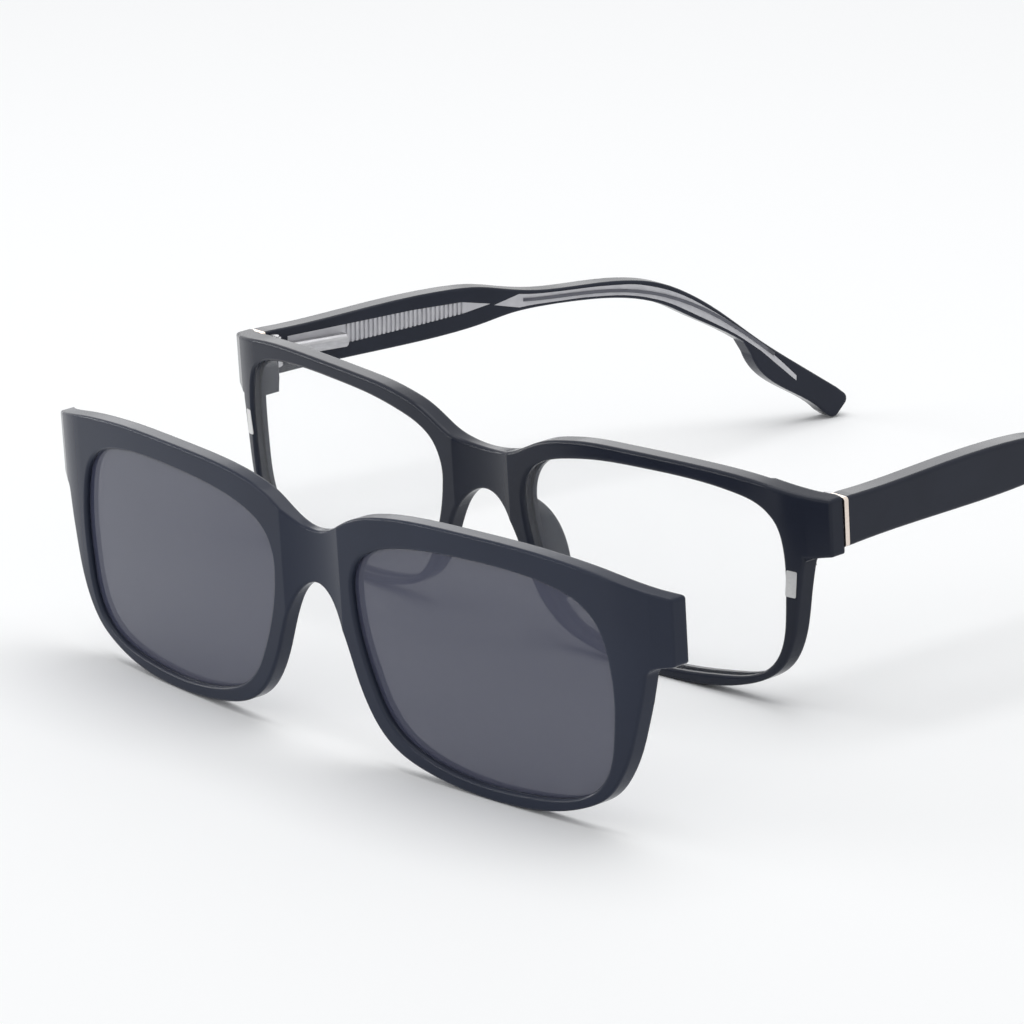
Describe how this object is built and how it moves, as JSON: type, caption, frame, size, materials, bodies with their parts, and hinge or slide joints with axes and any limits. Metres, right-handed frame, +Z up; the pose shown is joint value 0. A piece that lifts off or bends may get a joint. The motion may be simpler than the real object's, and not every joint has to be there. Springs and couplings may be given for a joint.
{
  "type": "eyeglasses with magnetic sun clip",
  "caption": "Rectangular optical frame with sprung folding temples and a separate dark sun clip that seats on its front by magnets.",
  "frame": {"origin": "middle of the whole set's base, on the floor, with the clip standing ahead of the frame", "axes": "+X towards the wearer's left, which is the right of the picture; +Y back along the temples; +Z up"},
  "size_m": [0.1708, 0.1926, 0.039],
  "materials": {
    "acetate_black": "polished black acetate",
    "clip_black": "satin moulded frame",
    "clear_lens": "clear demo lens",
    "sun_lens": "dark grey polarised lens",
    "magnet": "nickel plated magnet",
    "hinge_metal": "drawn and tumbled nickel silver",
    "trim_metal": "polished metal end cap",
    "crystal": "smoky crystal acetate"
  },
  "bodies": {
    "front": {"frame_front": "acetate_black", "demo_lens_left": "clear_lens", "demo_lens_right": "clear_lens", "front_magnet_left": "magnet", "front_magnet_right": "magnet", "hinge_leaf_left": "hinge_metal", "hinge_leaf_right": "hinge_metal", "hinge_screw_left": "hinge_metal", "hinge_screw_right": "hinge_metal", "hinge_rivet_inner_left": "hinge_metal", "hinge_rivet_inner_right": "hinge_metal", "hinge_rivet_outer_left": "hinge_metal", "hinge_rivet_outer_right": "hinge_metal", "nose_pad_left": "acetate_black", "nose_pad_right": "acetate_black"},
    "hinge_arm_left": {"hinge_arm_left": "hinge_metal"},
    "temple_left": {"temple_shell_left": "acetate_black", "temple_trim_left": "trim_metal", "temple_panel_left": "crystal", "temple_strip_left": "crystal", "spring_case_left": "hinge_metal", "hinge_spring_left": "hinge_metal"},
    "hinge_arm_right": {"hinge_arm_right": "hinge_metal"},
    "temple_right": {"temple_shell_right": "acetate_black", "temple_trim_right": "trim_metal", "temple_panel_right": "crystal", "temple_strip_right": "crystal", "spring_case_right": "hinge_metal", "hinge_spring_right": "hinge_metal"},
    "clip": {"clip_frame": "clip_black", "clip_lens_left": "sun_lens", "clip_lens_right": "sun_lens", "clip_magnet_left": "magnet", "clip_magnet_right": "magnet"}
  },
  "joints": [
    {"name": "clip_seat", "type": "slide", "parent": "front", "child": "clip", "axis": [-0.49, 0.8708, -0.0398], "range_m": [0, 0.06408]},
    {"name": "fold_right", "type": "hinge", "parent": "front", "child": "hinge_arm_right", "pos_m": [0.0498, -0.02579, 0.02987], "axis": [0, -0.0698, 0.9976], "range_deg": [0, 86]},
    {"name": "flex_right", "type": "slide", "parent": "hinge_arm_right", "child": "temple_right", "axis": [-0.0638, 0.998, 0], "range_m": [0, 0.0012], "stiffness_N_per_m": 1500, "springref_m": -0.0005},
    {"name": "fold_left", "type": "hinge", "parent": "front", "child": "hinge_arm_left", "pos_m": [-0.0804, -0.02579, 0.02987], "axis": [0, 0.0698, -0.9976], "range_deg": [0, 80]},
    {"name": "flex_left", "type": "slide", "parent": "hinge_arm_left", "child": "temple_left", "axis": [0.0638, 0.998, 0], "range_m": [0, 0.0012], "stiffness_N_per_m": 1500, "springref_m": -0.0005}
  ]
}
